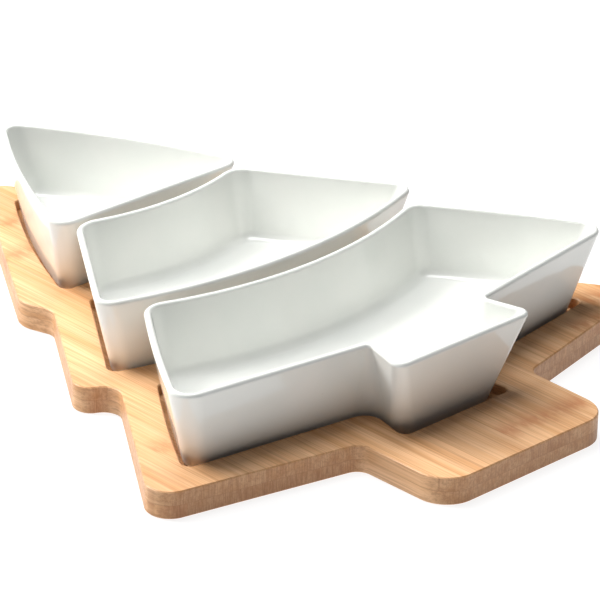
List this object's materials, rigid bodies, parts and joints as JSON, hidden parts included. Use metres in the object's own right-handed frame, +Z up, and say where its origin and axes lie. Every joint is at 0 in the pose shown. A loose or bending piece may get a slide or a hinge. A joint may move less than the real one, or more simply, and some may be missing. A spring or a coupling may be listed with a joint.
{
  "type": "chip and dip server",
  "caption": "Fir-tree-shaped serving set: a laminated bamboo board with milled pockets, and loose white glazed dishes that seat in them, one for each tier of the tree.",
  "frame": {"origin": "middle of the board's underside, on the surface that it stands on", "axes": "+Y along the tree, from the trunk to the tip; +X to the right seen from above with the tip up; +Z up"},
  "size_m": [0.2856, 0.35, 0.0489],
  "materials": {
    "glaze": "gloss",
    "bamboo_pale": "satin",
    "bamboo_honey": "satin"
  },
  "bodies": {
    "board": {"lower_strip_01": "bamboo_pale", "lower_strip_02": "bamboo_pale", "lower_strip_03": "bamboo_pale", "lower_strip_04": "bamboo_honey", "lower_strip_05": "bamboo_honey", "lower_strip_06": "bamboo_pale", "lower_strip_07": "bamboo_pale", "lower_strip_08": "bamboo_pale", "lower_strip_09": "bamboo_honey", "lower_strip_10": "bamboo_honey", "lower_strip_11": "bamboo_pale", "lower_strip_12": "bamboo_pale", "lower_strip_13": "bamboo_pale", "upper_strip_01": "bamboo_pale", "upper_strip_02": "bamboo_honey", "upper_strip_03": "bamboo_honey", "upper_strip_04": "bamboo_pale", "upper_strip_05": "bamboo_pale", "upper_strip_06": "bamboo_pale", "upper_strip_07": "bamboo_honey", "upper_strip_08": "bamboo_honey", "upper_strip_09": "bamboo_pale", "upper_strip_10": "bamboo_pale", "upper_strip_11": "bamboo_pale", "upper_strip_12": "bamboo_honey"},
    "apex_dish": {"apex_dish": "glaze"},
    "middle_dish": {"middle_dish": "glaze"},
    "base_dish": {"base_dish": "glaze"}
  },
  "joints": [
    {"name": "apex_dish_lift", "type": "slide", "parent": "board", "child": "apex_dish", "axis": [0, 0, 1], "range_m": [0, 0.06]},
    {"name": "middle_dish_lift", "type": "slide", "parent": "board", "child": "middle_dish", "axis": [0, 0, 1], "range_m": [0, 0.06]},
    {"name": "base_dish_lift", "type": "slide", "parent": "board", "child": "base_dish", "axis": [0, 0, 1], "range_m": [0, 0.06]}
  ]
}
